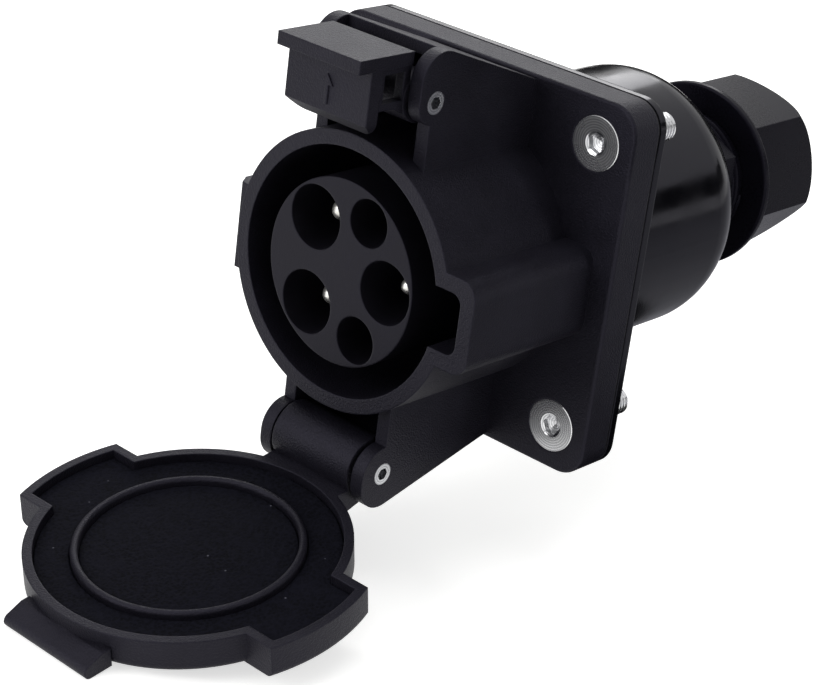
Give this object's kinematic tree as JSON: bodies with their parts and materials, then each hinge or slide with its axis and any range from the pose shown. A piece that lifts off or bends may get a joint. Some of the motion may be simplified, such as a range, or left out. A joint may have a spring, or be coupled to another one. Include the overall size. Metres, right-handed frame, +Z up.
{
  "type": "charge port inlet",
  "caption": "Vehicle charging inlet: keyed round socket on a square flange, with a hinged lid, a sprung latch, a domed rear housing and a cable gland.",
  "frame": {"origin": "centre of the panel face, the back of the rear flange", "axes": "+X to the right seen from the front, +Y from the mouth to the cable along the socket axis, +Z up"},
  "size_m": [0.069, 0.1868, 0.0956],
  "materials": {
    "black_nylon": "fine-grained black nylon",
    "insulator": "smooth black moulding",
    "gloss_black": "glossy black moulding",
    "stainless_steel": "turned stainless steel",
    "plated_brass": "silver-plated brass",
    "rubber": "black rubber",
    "foam": "black closed-cell foam"
  },
  "bodies": {
    "inlet": {"front_housing": "black_nylon", "contact_block": "insulator", "contact_core": "insulator", "contact_retainer": "black_nylon", "retainer_screws": "stainless_steel", "line_1_pin": "plated_brass", "line_2_pin": "plated_brass", "earth_pin": "plated_brass", "pilot_pin": "plated_brass", "proximity_pin": "plated_brass", "flange_gasket": "rubber", "rear_housing": "gloss_black", "flange_screws": "stainless_steel", "flange_nuts": "stainless_steel", "lid_hinge_pin": "stainless_steel", "latch_hinge_pin": "stainless_steel", "latch_spring": "stainless_steel", "gland_body": "black_nylon", "gland_o_ring": "rubber", "gland_lock_nut": "black_nylon", "gland_seal": "rubber", "gland_cap_nut": "black_nylon"},
    "lid": {"lid": "black_nylon", "lid_seal_ring": "foam", "lid_seal_disc": "foam"},
    "latch": {"latch": "black_nylon"}
  },
  "joints": [
    {"name": "lid_swing", "type": "hinge", "parent": "inlet", "child": "lid", "pos_m": [0, -0.0364, -0.0342], "axis": [-1, 0, 0], "range_deg": [0, 100]},
    {"name": "latch_lift", "type": "hinge", "parent": "inlet", "child": "latch", "pos_m": [0, -0.0351, 0.03345], "axis": [-1, 0, 0], "range_deg": [0, 26], "stiffness_Nm_per_rad": 0.012, "springref_deg": -22.92, "deforming": ["latch_spring"]}
  ]
}
